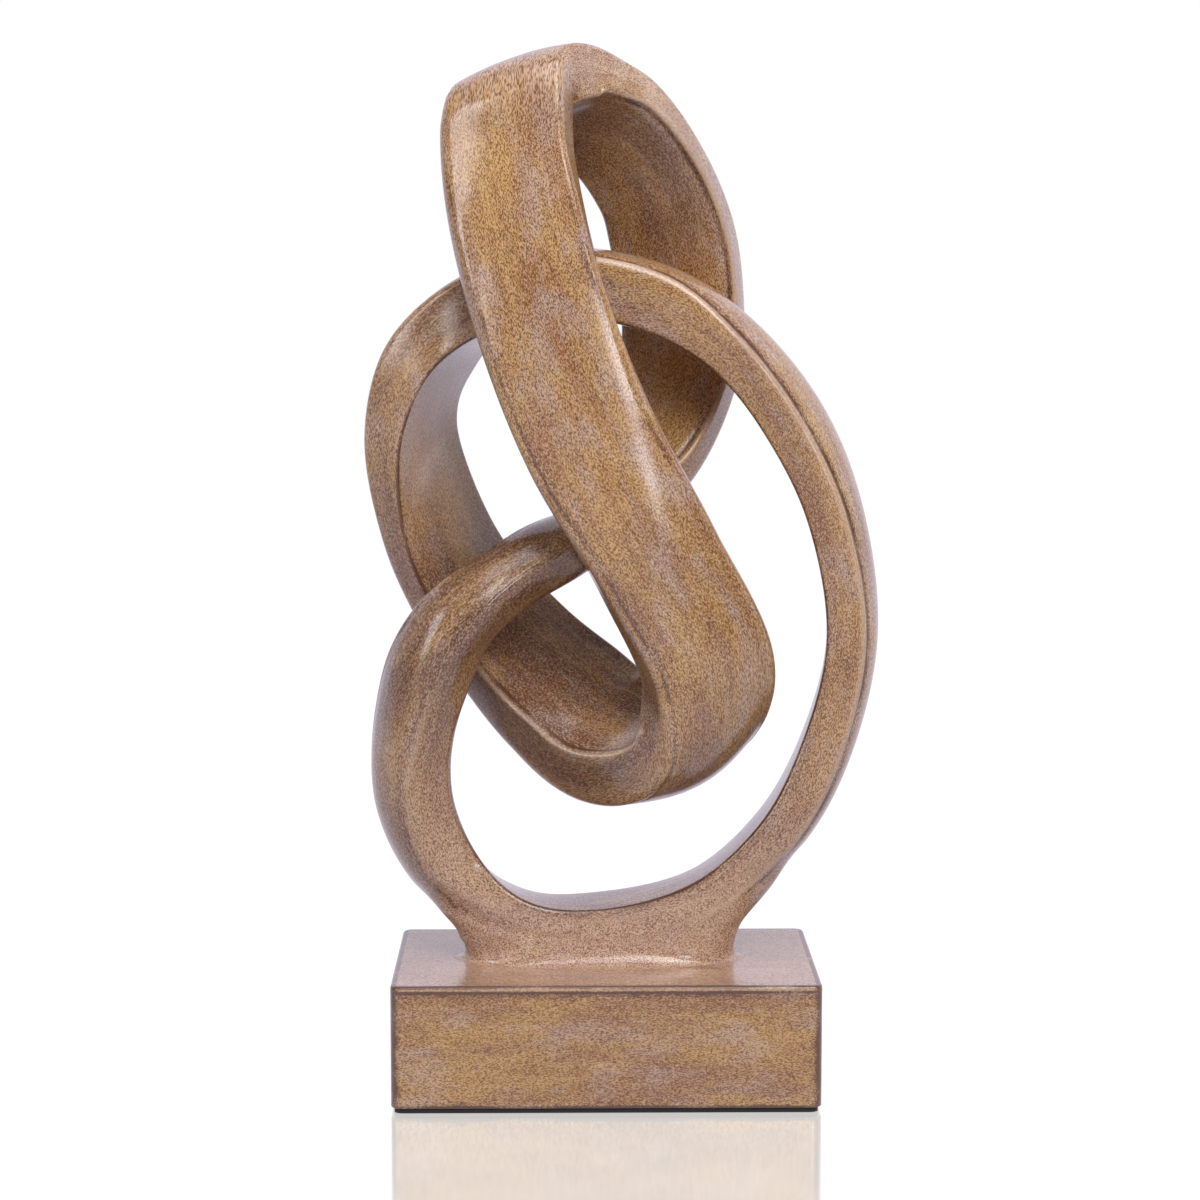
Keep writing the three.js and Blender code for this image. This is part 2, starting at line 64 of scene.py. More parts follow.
# Stations of the band, in order along it: name; place in millimetres, x and y and height above the
# plinth; direction from the first edge to the second; shares of the full width and thickness;
# bulge of the outer and the inner broad face in millimetres; lean, which is 0 where the section
# stands square to the band and 1 where it follows its direction as written.
STATIONS = (
    ("ring bottom", (-1.5, 0, 12), (0, 1, 0.03), 0.66, 0.95, (2, 0.5), 0),
    ("ring bottom right", (29.5, 0, 20), (0.04, 1, 0), 0.66, 0.96, (3, 0.5), 0),
    ("ring lower right", (51, 0, 39), (0.05, 1, 0), 0.68, 0.92, (4.5, 0.5), 0),
    ("ring right", (64, 0, 61), (0.08, 1, 0), 0.7, 0.97, (4.5, 0.5), 0),
    ("right side", (74, 0, 99), (0.13, 1, 0), 0.74, 0.9, (4.3, 0.5), 0),
    ("upper right side", (70, 0, 136), (0.25, 0.97, 0.05), 0.74, 0.9, (3.8, 0.5), 0),
    ("right shoulder", (58.5, 0, 164), (0.3, 0.95, 0.16), 0.74, 0.95, (3.6, 0.5), 0),
    ("over the back strand", (39, -1.5, 188), (0.17, 0.95, 0.2), 0.72, 1, (4, 0.5), 0),
    ("top of the ring", (16.5, 0, 201.5), (0.02, 1, 0.05), 0.74, 1.4, (3.5, 0.5), 0),
    ("behind the diagonal", (-16, 1, 207), (0.02, 1, 0), 0.79, 1.5, (2.5, 0.5), 0),
    ("top of the left arm", (-41, 4, 198.1), (0.1, 0.98, -0.1), 0.87, 1.45, (2.3, 0.5), 0),
    ("left shoulder", (-54.4, 8.5, 183), (0.24, 0.95, -0.21), 0.95, 1.33, (2, 0.5), 0),
    ("left side", (-59.5, 13, 163), (0.43, 0.9, 0), 1, 1.04, (2, 0.5), 0),
    ("lower left arm", (-54, 18.5, 136), (0.6, 0.76, 0.18), 1.03, 0.8, (2.2, 0.5), 0),
    ("behind the lower left", (-44.3, 22.5, 114.8), (0.6, 0.7, 0.35), 1.07, 0.84, (2.5, 0.5), 0),
    ("inner turn, left", (-28, 18, 94.5), (0.67, 0.65, 0.36), 1.12, 1.06, (4.8, 0.5), 0),
    ("inner turn, lower left", (-12.6, 9.2, 80), (0.67, 0.63, 0.39), 1.17, 1.4, (5.8, 0.5), 0),
    ("inner turn, bottom", (2, 0, 69.3), (0.56, 0.66, 0.5), 1.1, 1.7, (5.2, 0.5), 0),
    ("inner turn, right", (22.6, -11, 68.8), (0.6, 0.75, 0.15), 1.08, 1.25, (6.8, 0.5), 0),
    ("foot of the diagonal", (31.3, -20, 89.5), (0.9, 0.42, 0.05), 1.06, 1.04, (5, 0.5), 0),
    ("lower diagonal", (15.4, -25, 125.8), (0.88, 0.15, 0.45), 1.02, 1, (3.3, 0.5), 0),
    ("middle diagonal", (-4, -27, 160.5), (0.9, 0.05, 0.38), 1.07, 1, (2, 0.5), 0),
    ("upper diagonal", (-17.5, -27, 194), (0.95, 0, 0.3), 1.06, 1, (2, 0.5), 0),
    ("head of the diagonal", (-26, -25, 225), (0.98, -0.12, 0.14), 1.05, 1, (2, 0.5), 0),
    ("under the bend", (-29.6, -19.5, 249.5), (0.96, -0.27, 0.03), 1.03, 1, (2, 0.5), 1),
    ("bend", (-28.7, -17, 261.7), (0.94, -0.25, 0.24), 1.01, 1.12, (2.5, 0.5), 1),
    ("past the bend", (-24, -10.5, 264.5), (0.89, -0.34, 0.29), 1, 1.36, (2.5, 0.5), 1),
    ("top", (-16.5, -1, 265.5), (0.78, -0.55, 0.28), 1, 1.33, (1.5, 0.5), 1),
    ("top right", (-7, 6, 260), (0.62, -0.62, 0.48), 1.03, 1.2, (1.5, 0.5), 1),
    ("head of the back strand", (3.2, 9.8, 254.5), (0.66, -0.52, 0.53), 0.96, 1.08, (1.5, 0.5), 1),
    ("upper back strand", (15.7, 17.8, 237.2), (0.83, -0.36, 0.42), 0.94, 1, (1.5, 0.5), 0),
    ("back strand", (21, 22.5, 222.5), (0.9, -0.33, 0.26), 1, 0.96, (1.5, 0.5), 0),
    ("back strand, middle", (24, 26, 207), (0.95, -0.28, 0.1), 0.99, 0.96, (1.5, 0.5), 0),
    ("lower back strand", (24, 26, 184), (0.95, -0.32, -0.05), 0.97, 0.96, (1.5, 0.5), 0),
    ("foot of the back strand", (14.2, 17, 156.5), (0.74, -0.6, -0.4), 0.9, 1, (2, 1.5), 0),
    ("under the diagonal", (-4.5, 3, 133), (0.15, -0.97, -0.2), 0.74, 0.92, (1.5, 2.5), 0),
    ("over the left arm, right", (-26.5, -4, 119.7), (0.33, -0.68, -0.62), 0.52, 1, (1, 4), 0),
    ("over the left arm", (-46.4, -7.5, 103.4), (0.56, -0.45, -0.66), 0.61, 1.12, (0.8, 5.5), 0),
    ("lower left", (-57.3, -5, 75), (0.54, -0.83, -0.15), 0.76, 1.06, (0.5, 5), 0),
    ("ring left", (-57.4, -2.5, 49.5), (0.4, -0.91, 0), 0.71, 1.27, (0.5, 5), 0),
    ("ring lower left", (-46, 0, 26.5), (0.22, -0.97, 0.1), 0.66, 1.24, (0.5, 4), 0),
    ("ring bottom left", (-25.5, 0, 14), (0.05, -1, 0.04), 0.66, 0.9, (0.5, 2.5), 0),
)
# Past the last station the band comes round to the first one turned over
TURNED_OVER = np.array([1, 1, 1, -1, -1, -1, 1, 1, 1, -1, 1])
SEAM = 9.4  # the place behind the diagonal where the band's rings start

# Ridges of the band that stand out. The four edges are first_outer, second_outer, second_inner and
# first_inner. From and to are places among the stations; lip and groove are in millimetres; glaze
# is how dark the stain in the groove is, and spread how far it reaches over the broad face. With no
# groove the stain lies on the edge itself, and a groove of 0.01 only moves it off the edge.
RIDGES = (
    ("first_outer", 1.4, 9.2, 0.3, 0.45, 0.95, 2.4),
    ("first_outer", 9.2, 14.2, 0.1, 0.25, 0.9, 1.0),
    ("first_outer", 16.6, 20.2, 0.0, 0.25, 0.6, 3.0),
    ("first_inner", -0.6, 14.6, 0.0, 0.0, 0.9, 0.7),
    ("first_inner", 14.6, 17.6, 0.15, 0.1, 0.8, 0.8),
    ("first_inner", 17.6, 19.4, 0.2, 0.0, 0.2, 0.7),
    ("second_inner", 28.6, 34.5, 0.3, 0.4, 0.65, 1.0),
    ("second_inner", 35.6, 37.2, 0.0, 0.08, 0.5, 2.5),
    ("second_inner", 37.8, 40.3, 0.1, 0.4, 0.8, 1.8),
    ("second_outer", 36.5, 42.6, 0.0, 0.0, 0.9, 0.7),
    ("second_outer", 20.8, 22.8, 0.0, 0.01, 0.45, 1.2),
    ("first_outer", 20.4, 23.4, 0.0, 0.01, 0.6, 1.8),
)
EDGES = ("first_outer", "second_outer", "second_inner", "first_inner")
RIDGE_FADE = 0.8  # how far past its ends a ridge fades out, in stations

# Painted shade: stretches of a face painted darker where they lie in shade. The broad faces are
# outer and inner, the narrow ones first and second. From and to are places among the stations, and
# the last number is the strength.
SHADE_WASHES = (
    ("inner", 0, 4, 0.75),
    ("first", 2, 9, 0.28),
    ("first", 9, 14, 0.5),
    ("inner", 14, 18, 0.9),
    ("first", 14.5, 19, 0.95),
    ("outer", 17, 19.6, 0.25),
    ("inner", 27.5, 30.4, 0.65),
    ("inner", 35.2, 37.6, 0.95),
    ("second", 35.2, 37.6, 0.7),
    ("inner", 37.4, 40.5, 0.35),
    ("outer", 40.5, 42, 0.75),
)
SHADE_WASH_FADE = 1.2

# Stretches of an edge with a larger radius, in millimetres
SOFTENED = (
    ("first_outer", 22.5, 28, 5),
    ("second_inner", 35.6, 37.4, 4.5),
    ("second_inner", 38.5, 42.4, 5),
    ("second_outer", 34, 39, 4),
    ("second_outer", 17, 21, 4),
)
SOFT_FADE = 1.2


# Settings


def measure(name, description, default, unit="LENGTH"):
    return bpy.props.FloatProperty(name=name, description=description, default=default, unit=unit)


def tint(name, description, default):
    return bpy.props.FloatVectorProperty(
        name=name, description=description, default=default, subtype="COLOR", size=3, min=0, max=1
    )


class BandSettings(bpy.types.PropertyGroup):
    """Sizes of the band."""

    width: measure("Width", "Full width of the band", 0.038)
    thickness: measure("Thickness", "Full thickness of the band", 0.012)
    crisp_radius: measure("Crisp edge radius", "Radius of an edge beside a flat broad face", 0.0013)
    soft_radius: measure(
        "Soft edge radius", "Radius of an edge beside a crowned broad face", 0.0026
    )
    ring_step: measure("Ring step", "Distance between rings of the mesh", 0.0018)


class NeckSettings(bpy.types.PropertyGroup):
    """Sizes of the neck between the plinth and the ring."""

    blend_reach: measure(
        "Blend reach", "How far from the join the neck is smoothed into the ring", 0.009
    )
    blend_rounds: bpy.props.IntProperty(
        name="Blend rounds", description="How often the join is smoothed", default=40
    )


class PlinthSettings(bpy.types.PropertyGroup):
    """Sizes of the plinth and the pad under it."""

    corner_radius: measure("Corner radius", "Radius of the upright edges", 0.003)
    edge_radius: measure("Edge radius", "Radius round the top face", 0.0009)


class FinishSettings(bpy.types.PropertyGroup):
    """Colours of the faux-wood finish and the pad."""

    ground: tint("Ground", "Golden tan of the ground coat", (0.66, 0.36, 0.095))
    blotch: tint("Blotch", "Reddish brown of the blotches", (0.36, 0.125, 0.04))
    # Also the colour of the painted sheen low down and at the very top
    haze_and_sheen: tint("Haze", "Mauve grey where the glaze is thin", (0.67, 0.51, 0.46))
    speckle: tint("Speckle", "Dark brown of the fine speckle", (0.12, 0.042, 0.014))
    glaze: tint("Glaze", "Umber of the glaze in the creases", (0.1, 0.032, 0.012))
    # Also the colour of the painted highlight on the lips and the plinth's rim, besides the pale
    # specks
    pale_and_highlight: tint("Rubbed", "Pale tone of the rubbed ridges", (0.8, 0.58, 0.42))
    # On the band also the colour of the painted shade; on the plinth an even darker tone
    wash_and_shade: tint("Wash", "Brown of the wash over whole faces", (0.16, 0.065, 0.025))
    felt: tint("Felt", "Colour of the pad", (0.012, 0.01, 0.009))


class StageSettings(bpy.types.PropertyGroup):
    """The floor, the light and the camera."""

    camera_place: bpy.props.FloatVectorProperty(
        name="Camera place", description="Where the camera stands", subtype="TRANSLATION",
        unit="LENGTH", size=3, default=(-0.012, -0.913, 0.253),
    )
    camera_pitch: measure("Camera pitch", "How far the camera looks down", 0.1123, "ROTATION")
    camera_yaw: measure("Camera yaw", "How far the camera looks to the right", 0.0115, "ROTATION")
    lens: measure("Lens", "Focal length in millimetres", 90, "NONE")
    side_light: measure("Side light", "Power of each side lamp", 3.5, "POWER")
    top_light: measure("Top light", "Power of the lamp above", 8, "POWER")
    front_light: measure("Front light", "Power of the lamp in front", 13.8, "POWER")
    left_light: measure("Left light", "Power of the lamp in front on the left", 5.2, "POWER")
    strip_light: measure("Strip light", "Power of the strips beside the camera", 0.8, "POWER")
    fill: measure("Fill", "Strength of the even light", 0.17, "NONE")


class KnotSettings(bpy.types.PropertyGroup):
    """All the settings of the sculpture."""

    band: bpy.props.PointerProperty(type=BandSettings)
    neck: bpy.props.PointerProperty(type=NeckSettings)
    plinth: bpy.props.PointerProperty(type=PlinthSettings)
    finish: bpy.props.PointerProperty(type=FinishSettings)
    stage: bpy.props.PointerProperty(type=StageSettings)


# Meshes


def new_piece(name, vertices, faces, material):
    mesh = bpy.data.meshes.new(name)
    mesh.from_pydata([tuple(v) for v in vertices], [], [tuple(f) for f in faces])
    mesh.validate()
    mesh.polygons.foreach_set("use_smooth", [True] * len(mesh.polygons))
    piece = bpy.data.objects.new(name, mesh)
    bpy.context.scene.collection.objects.link(piece)
    if material:
        mesh.materials.append(material)
    return piece


def set_attribute(mesh, name, kind, values):
    layer = mesh.attributes.get(name) or mesh.attributes.new(name, kind, "POINT")
    layer.data.foreach_set("vector" if kind == "FLOAT_VECTOR" else "value", np.ravel(values))


def mesh_points(mesh):
    points = np.zeros(len(mesh.vertices) * 3)
    mesh.vertices.foreach_get("co", points)
    return points.reshape(-1, 3)


def tube_faces(rings, size):
    """Quads between rings of equal size, each ring starting where the last one ended."""
    k = np.arange(size)
    after = (k + 1) % size
    faces = []
    for i in range(rings - 1):
        low, high = i * size, (i + 1) * size
        faces.append(np.stack([low + k, low + after, high + after, high + k], axis=1))
    return np.concatenate(faces)


def nearest_points(points, source):
    """For each point, the index of the nearest source point and its distance."""
    tree = KDTree(len(source))
    for i, p in enumerate(source):
        tree.insert(p, i)
    tree.balance()
    found = [tree.find(p) for p in points]
    return np.array([f[1] for f in found]), np.array([f[2] for f in found])


def finish_mesh(mesh, material):
    """Smooth shading and one material for a mesh that a boolean made."""
    mesh.polygons.foreach_set("use_smooth", [True] * len(mesh.polygons))
    mesh.materials.clear()
    mesh.materials.append(material)


def boolean(piece, other, operation):
    """Applies an exact boolean to the piece and deletes the other one."""
    modifier = piece.modifiers.new("boolean", "BOOLEAN")
    modifier.operation = operation
    modifier.object = other
    modifier.solver = "EXACT"
    applied = bpy.data.meshes.new_from_object(
        piece.evaluated_get(bpy.context.evaluated_depsgraph_get())
    )
    piece.modifiers.clear()
    piece.data = applied
    bpy.data.objects.remove(other)


# The band


def unit(vectors):
    return vectors / np.linalg.norm(vectors, axis=-1, keepdims=True)


def station_rows(band):
    rows = []
    for _, place, across, width, thickness, (outer, inner), lean in STATIONS:
        x, y, z = place
        centre = (x * MM, y * MM, z * MM + PLINTH_HIGH.z)
        direction = unit(np.array(across, float))
        rows.append((
            *centre, *direction, width * band.width, thickness * band.thickness,
            (outer + inner) * MM, (outer - inner) * MM, lean,
        ))
    return np.array(rows)


class BandCourse:
    """The band's centre line and section at any place among the stations."""

    def __init__(self, band):
        self.band = band
        self.rows = station_rows(band)

    def row(self, index):
        lap, i = np.divmod(index, len(self.rows))
        return self.rows[i] * np.where((lap % 2 == 1)[:, None], TURNED_OVER, 1)

    def sample(self, places):
        """A centripetal Catmull-Rom curve through the stations' values."""
        i = np.floor(places).astype(int)
        p = [self.row(i + k) for k in (-1, 0, 1, 2)]
        knots = [np.zeros(len(i))]
        for a, b in zip(p, p[1:]):
            knots.append(knots[-1] + np.sqrt(np.linalg.norm(b[:, :3] - a[:, :3], axis=1)))
        t = knots[1] + (knots[2] - knots[1]) * (places - i)

        def mix(a, b, start, stop):
            return a + (b - a) * ((t - start) / (stop - start))[:, None]

        a1, a2, a3 = [mix(p[k], p[k + 1], knots[k], knots[k + 1]) for k in range(3)]
        b1 = mix(a1, a2, knots[0], knots[2])
        b2 = mix(a2, a3, knots[1], knots[3])
        return mix(b1, b2, knots[1], knots[2])

    def frames(self, places):
        """Values, direction across the band and direction out of its outer face, at each place."""
        nudge = 0.01
        values = self.sample(places)
        along = unit(self.sample(places + nudge)[:, :3] - self.sample(places - nudge)[:, :3])
        across = values[:, 3:6]
        keep = values[:, 10:11] - 1
        across = unit(across + along * keep * np.sum(across * along, axis=1, keepdims=True))
        outward = unit(np.cross(across, along))
        return values, across, outward

    def even_places(self, start, stop, step):
        """Places from start to stop, the given distance apart along the centre line."""
        fine = np.linspace(start, stop, 4001)
        steps = np.linalg.norm(np.diff(self.sample(fine)[:, :3], axis=0), axis=1)
        travelled = np.concatenate([[0], np.cumsum(steps)])
        count = round(travelled[-1] / step)
        distances = np.linspace(0, travelled[-1], count + 1)
        return np.interp(distances, travelled, fine), distances


CORNER_TURNS = np.linspace(0, math.pi / 2, 7)
NEAR_EDGE = np.array([0, 0.5, 1.0, 1.5, 2.0, 2.6, 3.4, 4.6]) * MM
FACE_MIDDLE = np.linspace(-1, 1, 11)[1:-1]
CROWN_POWER = 2.2
LARGEST_RADIUS = 0.85  # of an edge, as a share of half the thickness
SOFT_CROWN = 3.5 * MM  # the bulge from which an edge has the soft radius

# Lips, grooves and stain beside an edge: how far from the middle of the rounded edge they lie, and
# their half width, in millimetres over the broad face.
LIP = (0.2, 0.9)
GROOVE = (2.3, 0.9)
EDGE_LINE = (0.3, 0.7)
SMEAR_START = 1
SMEAR_LENGTH = 1.6  # for a spread of 1
SMEAR_STAIN = 0.55
LEAST_SMEARED = 0.9  # the spread above which there is a smear
# How pale a painted highlight a lip gets, for each millimetre it stands out
HIGHLIGHT_PER_LIP = 3.2


def half_profile(width, thickness, crown, radii):
    """Points over one broad face, from the middle of the first edge to just before the second."""
    a, b = width / 2, thickness / 2

    def bulge(p):
        return crown * (1 - (np.abs(p) / a) ** CROWN_POWER)

    sides = []
    for radius in radii:
        r = min(radius, LARGEST_RADIUS * b)
        flat = a - r
        lift = bulge(flat)
        side = [(-a, 0), (-a, 0.5 * (b - r))]
        side += [(-flat - r * math.cos(t), b - r + (r + lift) * math.sin(t)) for t in CORNER_TURNS]
        side += [(s - flat, b + bulge(s - flat)) for s in NEAR_EDGE[1:]]
        sides.append(side)
    first = sides[0]
    second = [(-p, q) for p, q in reversed(sides[1])][:-1]
    low, high = first[-1][0], second[0][0]
    middle = [(p, b + bulge(p)) for p in (low + high + FACE_MIDDLE * (high - low)) / 2]
    return np.array(first + middle + second)


def fade_in(start, stop, place, fade):
    """1 between two places, 0 beyond them by more than the fade, and smooth between."""
    share = np.clip(min((place - start) / fade + 1, (stop - place) / fade + 1), 0, 1)
    return share * share * (3 - 2 * share)


def edge_radius(band, edge, place, crown):
    """Radius of an edge: softer beside a crowned face, and as SOFTENED says."""
    flat = 1 - min(crown / SOFT_CROWN, 1)
    radius = band.soft_radius + (band.crisp_radius - band.soft_radius) * flat
    for name, start, stop, softened in SOFTENED:
        if name == edge:
            radius += (softened * MM - radius) * fade_in(start, stop, place, SOFT_FADE)
    return radius


def edge_strength(edge, place):
    """Lip, groove, glaze and spread of one edge at a place, all fading at their ends."""
    found = np.zeros(4)
    for name, start, stop, *values in RIDGES:
        if name == edge:
            share = fade_in(start, stop, place, RIDGE_FADE)
            found = np.maximum(found, np.array(values) * [share, share, share, share > 0])
    return found


def face_shade_wash(face, place):
    """Strength of the painted shade on a face at a place."""
    found = [
        strength * fade_in(start, stop, place, SHADE_WASH_FADE)
        for name, start, stop, strength in SHADE_WASHES
        if name == face
    ]
    return max(found, default=0)


def hump(distance, middle, half_width):
    """1 at the middle, and fading on both sides of it."""
    return np.exp(-((distance - middle) / half_width) ** 2)


def stain_beside_edge(distance, groove, stain, spread):
    """Stain in the groove or on the edge, with a smear over the broad face where it spreads."""
    line = hump(distance, *GROOVE) if groove > 0 else hump(distance, *EDGE_LINE)
    if spread <= LEAST_SMEARED:
        return stain * line
    smear = np.exp(-np.maximum(distance - GROOVE[0], 0) / (SMEAR_LENGTH * spread))
    return stain * np.maximum(line, SMEAR_STAIN * smear * (distance > SMEAR_START))


def dressed_half(course, values, crown, edges, place):
    """One broad face of a ring with lips and grooves: points, stain, painted highlight and shade.
    """
    band = course.band
    radii = [edge_radius(band, edge, place, crown) for edge in edges]
    points = half_profile(values[6], values[7], crown, radii)
    steps = np.linalg.norm(np.diff(points, axis=0), axis=1)
    length = np.concatenate([[0], np.cumsum(steps)]) / MM
    corner = 2 + len(CORNER_TURNS) // 2  # the rounded edge comes after two points
    slopes = np.gradient(points, axis=0)
    normals = unit(np.stack([-slopes[:, 1], slopes[:, 0]], axis=1))
    glaze, lip_highlight, shift = np.zeros((3, len(points)))
    distances = (length - length[corner], length[-corner] - length)
    for edge, distance in zip(edges, distances):
        lip, groove, stain, spread = edge_strength(edge, place)
        bead = hump(distance, *LIP)
        shift += lip * MM * bead - groove * MM * hump(distance, *GROOVE)
        glaze = np.maximum(glaze, stain_beside_edge(distance, groove, stain, spread))
        # Painted highlight along the lip
        lip_highlight = np.maximum(lip_highlight, bead * min(lip * HIGHLIGHT_PER_LIP, 1))
    # Painted shade over the narrow and the broad faces
    sides = [face_shade_wash(edge.split("_")[0], place) for edge in edges]
    narrow = np.where(points[:, 0] < 0, *sides)
    broad = face_shade_wash(edges[0].split("_")[1], place)
    on_broad = np.clip(points[:, 1] / (values[7] / 2), 0, 1) ** 3
    wash_and_shade = narrow + (broad - narrow) * on_broad
    return points + normals * shift[:, None], glaze, lip_highlight, wash_and_shade


def band_rings(course, places, distances):
    """Points, grain coordinates, and stain, painted highlight and painted shade of every ring."""
    values, across, outward = course.frames(places)
    points, grain, tones = [], [], []
    for i, place in enumerate(places):
        v = values[i]
        names = EDGES if place < len(STATIONS) else EDGES[2:] + EDGES[:2]
        place = place % len(STATIONS)
        outer, inner = (v[8] + v[9]) / 2, (v[8] - v[9]) / 2
        over, *over_tones = dressed_half(course, v, outer, names[:2], place)
        under, *under_tones = dressed_half(course, v, inner, names[2:], place)
        flat = np.concatenate([over, -under])
        points.append(v[:3] + flat[:, :1] * across[i] + flat[:, 1:] * outward[i])
        girth = np.linalg.norm(np.roll(flat, -1, axis=0) - flat, axis=1)
        turn = 2 * math.pi * np.concatenate([[0], np.cumsum(girth)[:-1]]) / girth.sum()
        reach = girth.sum() / (2 * math.pi)
        grain.append(np.stack([
            np.full(len(flat), distances[i]), reach * np.cos(turn), reach * np.sin(turn),
        ], axis=1))
        tones.append(np.concatenate([over_tones, under_tones], axis=1).T)
    return np.array(points), np.array(grain), np.array(tones)


def band_mesh(course):
    """Points, faces, grain coordinates and tones of the closed band."""
    places, distances = course.even_places(SEAM, SEAM + len(STATIONS), course.band.ring_step)
    points, grain, tones = band_rings(course, places[:-1], distances[:-1])
    rings, size = points.shape[:2]
    faces = list(tube_faces(rings, size))
    last = (rings - 1) * size
    half = size // 2
    for k in range(size):
        after = (k + 1) % size
        faces.append((last + k, last + after, (after + half) % size, (k + half) % size))
    return points.reshape(-1, 3), faces, grain.reshape(-1, 3), tones.reshape(-1, 3)


# The neck. Foot: height, left and right end, half depth and squareness, where 2 is an ellipse.
# Shoulder: share of the way from the foot to the middle of the ring, then the same four. Lengths in
# millimetres.
NECK_FOOT = (
    (0, -46.8, 43.6, 17.6, 2),
    (0.25, -45.3, 42.1, 16.4, 2.1),
    (0.7, -44.3, 41.1, 15.3, 2.3),
    (1.5, -43.5, 40.3, 14.2, 2.6),
    (3, -43.2, 39.9, 13.2, 3),
    (5, -43.6, 40, 12.5, 3.5),
)
NECK_SHOULDER = (
    (0.08, -44.9, 40.7, 12.3, 4),
    (0.19, -46.2, 42.6, 12.3, 4),
    (0.33, -49.2, 46.8, 12.3, 4),
    (0.46, -52.4, 51, 12.2, 4),
    (0.62, -54.4, 55.2, 12.1, 4),
    (0.75, -54.6, 56.8, 12, 4),
    (0.87, -53, 56, 12, 4),
    (1, -50, 54, 12, 4),
)
NECK_SIDES = 180
FOOT_HEIGHT = NECK_FOOT[-1][0] * MM
NECK_FINENESS = 5
JOIN_START = 0.3  # below this share of the foot's height the join isn't smoothed
JOIN_PULL = 0.6  # how far a vertex moves in one round of smoothing


def ring_height(course, x):
    """Height of the ring's middle near its bottom at places along X."""
    places = np.linspace(len(STATIONS) - 3, len(STATIONS) + 3, 400)
    centres = course.sample(places)
    return np.interp(x, centres[:, 0], centres[:, 2])


def refine(table, fineness):
    """More rows between those of a table, on a smooth curve through them."""
    table = np.array(table, float)
    padded = np.concatenate([2 * table[:1] - table[1:2], table, 2 * table[-1:] - table[-2:-1]])
    rows = []
    for i in range(len(table) - 1):
        p0, p1, p2, p3 = padded[i:i + 4]
        for t in np.arange(fineness) / fineness:
            rows.append(0.5 * (2 * p1 + (p2 - p0) * t + (2 * p0 - 5 * p1 + 4 * p2 - p3) * t ** 2
                               + (3 * p1 - p0 - 3 * p2 + p3) * t ** 3))
    rows.append(table[-1])
    return np.array(rows)


def neck_plan(left, right, half_depth, squareness):
    """X and Y round the neck at one height."""
    turns = 2 * math.pi * (np.arange(NECK_SIDES) + 0.5) / NECK_SIDES
    c, s = np.cos(turns), np.sin(turns)
    power = 2 / squareness
    x = (left + right + np.sign(c) * np.abs(c) ** power * (right - left)) / 2
    return x * MM, np.sign(s) * np.abs(s) ** power * half_depth * MM


def neck_mesh(course):
    base = PLINTH_HIGH.z
    loops = []
    for height, *plan in refine(NECK_FOOT, NECK_FINENESS):
        x, y = neck_plan(*plan)
        loops.append(np.stack([x, y, np.full(NECK_SIDES, base + height * MM)], axis=1))
    start = base + FOOT_HEIGHT
    top_left, top_right = NECK_SHOULDER[-1][1:3]
    for share, *plan in refine(NECK_SHOULDER, NECK_FINENESS):
        x, y = neck_plan(*plan)
        ring = ring_height(course, np.interp(x / MM, plan[:2], (top_left, top_right)) * MM)
        loops.append(np.stack([x, y, start + (ring - start) * share], axis=1))
    faces = [tuple(f) for f in tube_faces(len(loops), NECK_SIDES)]
    last = (len(loops) - 1) * NECK_SIDES
    for k in range(NECK_SIDES // 2 - 1):
        mirror = NECK_SIDES - 1 - k
        faces.append((k, mirror, mirror - 1, k + 1))
        faces.append((last + k, last + k + 1, last + mirror - 1, last + mirror))
    return np.concatenate(loops), faces


def smooth_join(mesh, seam, neck):
    """Pulls the vertices near the seam towards their neighbours, the nearest the most."""
    points = mesh_points(mesh)
    _, distance = nearest_points(points, seam)
    weight = np.clip(1 - distance / neck.blend_reach, 0, 1)
    weight = weight * weight * (3 - 2 * weight)
    weight *= np.clip((points[:, 2] - PLINTH_HIGH.z) / FOOT_HEIGHT - JOIN_START, 0, 1)
    edges = np.zeros(len(mesh.edges) * 2, int)
    mesh.edges.foreach_get("vertices", edges)
    edges = edges.reshape(-1, 2)
    edges = edges[(weight[edges] > 0).any(axis=1)]
    for _ in range(neck.blend_rounds):
        total = np.zeros_like(points)
        count = np.zeros(len(points))
        for a, b in ((0, 1), (1, 0)):
            np.add.at(total, edges[:, a], points[edges[:, b]])
            np.add.at(count, edges[:, a], 1)
        near = (count > 0) & (weight > 0)
        mean = total[near] / count[near, None]
        points[near] += (mean - points[near]) * (JOIN_PULL * weight[near, None])
    mesh.vertices.foreach_set("co", points.ravel())
    mesh.update()
    return weight


